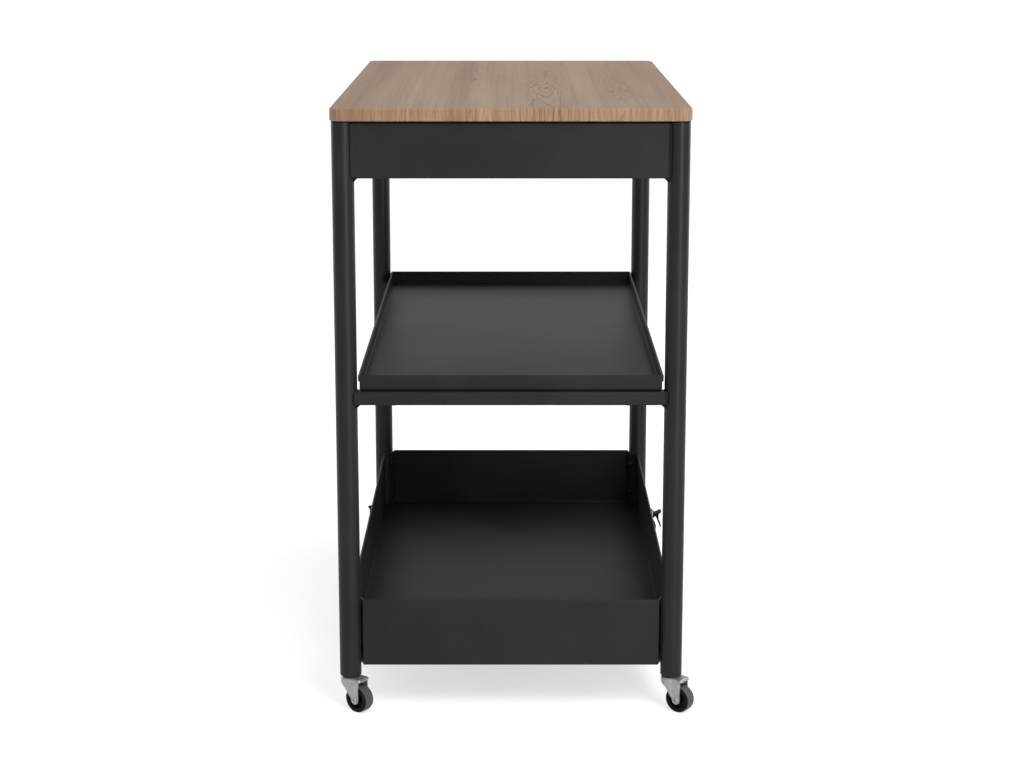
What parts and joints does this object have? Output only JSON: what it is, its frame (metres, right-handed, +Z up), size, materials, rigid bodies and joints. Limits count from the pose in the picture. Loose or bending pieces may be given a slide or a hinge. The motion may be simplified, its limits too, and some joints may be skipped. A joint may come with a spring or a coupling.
{
  "type": "kitchen island cart",
  "caption": "Rolling kitchen island cart: wooden worktop on a tubular steel frame with aprons, a lipped middle tray, a deep bottom bin, swivel casters and toe brakes.",
  "frame": {"origin": "centre of the cart's footprint on the floor", "axes": "+X across the width, +Y from the front end to the rear end, +Z up"},
  "size_m": [0.5593, 0.9318, 0.9],
  "materials": {
    "wood": "greyish tan ash-like veneer, satin",
    "powder_coat": "charcoal black matte powder coat",
    "zinc_plate": "satin zinc plate",
    "black_plastic": "moulded black nylon",
    "tyre_rubber": "dark grey rubber"
  },
  "bodies": {
    "frame": {"worktop": "wood", "worktop_tabs": "powder_coat", "worktop_screws": "zinc_plate", "leg_front_left": "powder_coat", "leg_front_right": "powder_coat", "leg_rear_left": "powder_coat", "leg_rear_right": "powder_coat", "leg_caps": "black_plastic", "leg_sockets": "black_plastic", "apron_front": "powder_coat", "apron_rear": "powder_coat", "apron_left": "powder_coat", "apron_right": "powder_coat", "apron_bolts": "powder_coat", "apron_nuts": "zinc_plate", "mid_rail_front": "powder_coat", "mid_rail_rear": "powder_coat", "weld_beads": "powder_coat", "middle_tray": "powder_coat", "tray_studs": "powder_coat", "tray_nuts": "powder_coat", "bottom_bin": "powder_coat", "bin_bolts": "powder_coat", "bin_spacers": "black_plastic", "bin_nuts": "zinc_plate", "caster_stems": "zinc_plate", "swivel_balls": "zinc_plate"},
    "swivel_front_left": {"fork_front_left": "zinc_plate", "axle_front_left": "zinc_plate"},
    "wheel_front_left": {"core_front_left": "black_plastic", "tyre_front_left": "tyre_rubber"},
    "swivel_front_right": {"fork_front_right": "zinc_plate", "axle_front_right": "zinc_plate"},
    "wheel_front_right": {"core_front_right": "black_plastic", "tyre_front_right": "tyre_rubber"},
    "swivel_rear_left": {"fork_rear_left": "zinc_plate", "axle_rear_left": "zinc_plate", "brake_pin_rear_left": "zinc_plate"},
    "wheel_rear_left": {"core_rear_left": "black_plastic", "tyre_rear_left": "tyre_rubber"},
    "brake_rear_left": {"brake_lever_rear_left": "black_plastic"},
    "swivel_rear_right": {"fork_rear_right": "zinc_plate", "axle_rear_right": "zinc_plate", "brake_pin_rear_right": "zinc_plate"},
    "wheel_rear_right": {"core_rear_right": "black_plastic", "tyre_rear_right": "tyre_rubber"},
    "brake_rear_right": {"brake_lever_rear_right": "black_plastic"}
  },
  "joints": [
    {"name": "swivel_front_left", "type": "hinge", "parent": "frame", "child": "swivel_front_left", "pos_m": [-0.239, -0.431, 0.0517], "axis": [0, 0, 1], "continuous": true},
    {"name": "spin_front_left", "type": "hinge", "parent": "swivel_front_left", "child": "wheel_front_left", "pos_m": [-0.22582, -0.44093, 0.02], "axis": [0.6018, 0.7986, 0], "continuous": true},
    {"name": "swivel_front_right", "type": "hinge", "parent": "frame", "child": "swivel_front_right", "pos_m": [0.239, -0.431, 0.0517], "axis": [0, 0, 1], "continuous": true},
    {"name": "spin_front_right", "type": "hinge", "parent": "swivel_front_right", "child": "wheel_front_right", "pos_m": [0.25218, -0.44093, 0.02], "axis": [0.6018, 0.7986, 0], "continuous": true},
    {"name": "swivel_rear_left", "type": "hinge", "parent": "frame", "child": "swivel_rear_left", "pos_m": [-0.239, 0.431, 0.0517], "axis": [0, 0, 1], "continuous": true},
    {"name": "spin_rear_left", "type": "hinge", "parent": "swivel_rear_left", "child": "wheel_rear_left", "pos_m": [-0.24916, 0.444, 0.02], "axis": [-0.788, -0.6157, 0], "continuous": true},
    {"name": "brake_rear_left", "type": "hinge", "parent": "swivel_rear_left", "child": "brake_rear_left", "pos_m": [-0.2547, 0.45109, 0.046], "axis": [-0.788, -0.6157, 0], "range_deg": [0, 12]},
    {"name": "swivel_rear_right", "type": "hinge", "parent": "frame", "child": "swivel_rear_right", "pos_m": [0.239, 0.431, 0.0517], "axis": [0, 0, 1], "continuous": true},
    {"name": "spin_rear_right", "type": "hinge", "parent": "swivel_rear_right", "child": "wheel_rear_right", "pos_m": [0.25548, 0.43186, 0.02], "axis": [-0.0523, 0.9986, 0], "continuous": true},
    {"name": "brake_rear_right", "type": "hinge", "parent": "swivel_rear_right", "child": "brake_rear_right", "pos_m": [0.26447, 0.43234, 0.046], "axis": [-0.0523, 0.9986, 0], "range_deg": [0, 12]}
  ]
}
